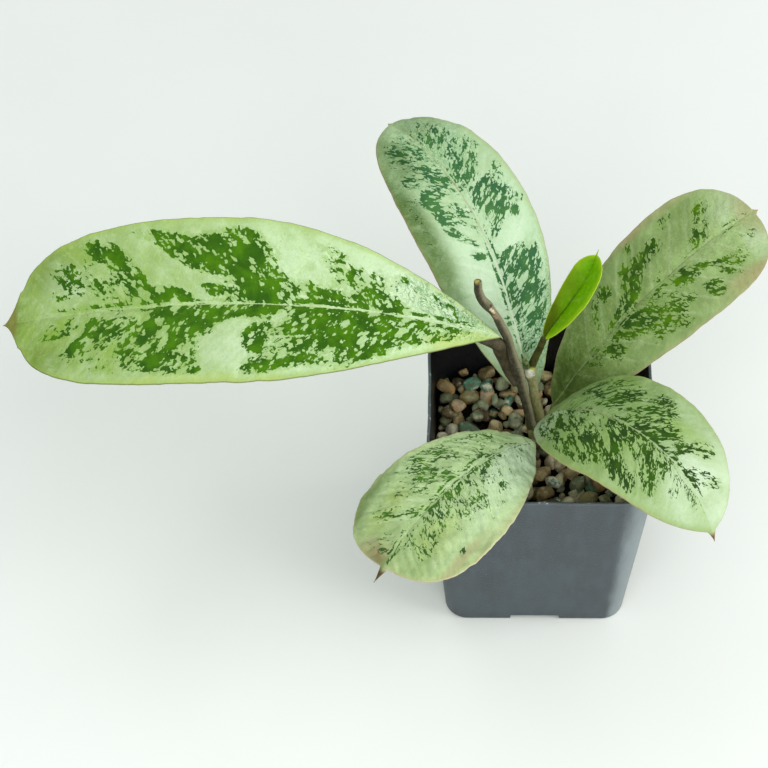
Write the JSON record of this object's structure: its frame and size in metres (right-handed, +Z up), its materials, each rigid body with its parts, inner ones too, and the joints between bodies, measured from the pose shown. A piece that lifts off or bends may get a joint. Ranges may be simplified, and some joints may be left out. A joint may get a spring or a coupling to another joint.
{
  "type": "potted hoya plant",
  "caption": "Potted hoya plant: broad waxy leaves splashed in pale and dark green, rising on woody stems from a gravel-topped square nursery pot.",
  "frame": {"origin": "on the surface the pot stands on, under the middle of the whole plant's bounding box", "axes": "+Z up, +X to the right with the longest leaf reaching to -X, +Y to the back"},
  "size_m": [0.2924, 0.1754, 0.1629],
  "materials": {
    "pot": "matt injection-moulded, lightly scuffed and dusty",
    "growing_mix": "dark moist bark and peat",
    "gravel": "rounded tan, brown, grey and greenish pebbles",
    "woody_stem": "grey-brown bark over green, with leaf scars",
    "green_stem": "smooth olive green",
    "leaf_left": "waxy, pale mint with vivid green splashes",
    "leaf_back": "waxy, pale mint with dark green splashes",
    "leaf_right": "waxy, olive grey-green with few splashes",
    "leaf_front_right": "waxy, mid green with dense dark streaks",
    "leaf_front_left": "waxy, glaucous mint with thin dark flecks",
    "leaf_young": "thin and glossy, bright yellow-green"
  },
  "bodies": {
    "root": {"pot": "pot", "growing_mix": "growing_mix", "gravel": "gravel", "stem_old": "woody_stem", "stem_new": "green_stem", "leaf_left": "leaf_left", "leaf_back": "leaf_back", "leaf_right": "leaf_right", "leaf_front_right": "leaf_front_right", "leaf_front_left": "leaf_front_left", "leaf_young": "leaf_young"}
  },
  "joints": []
}
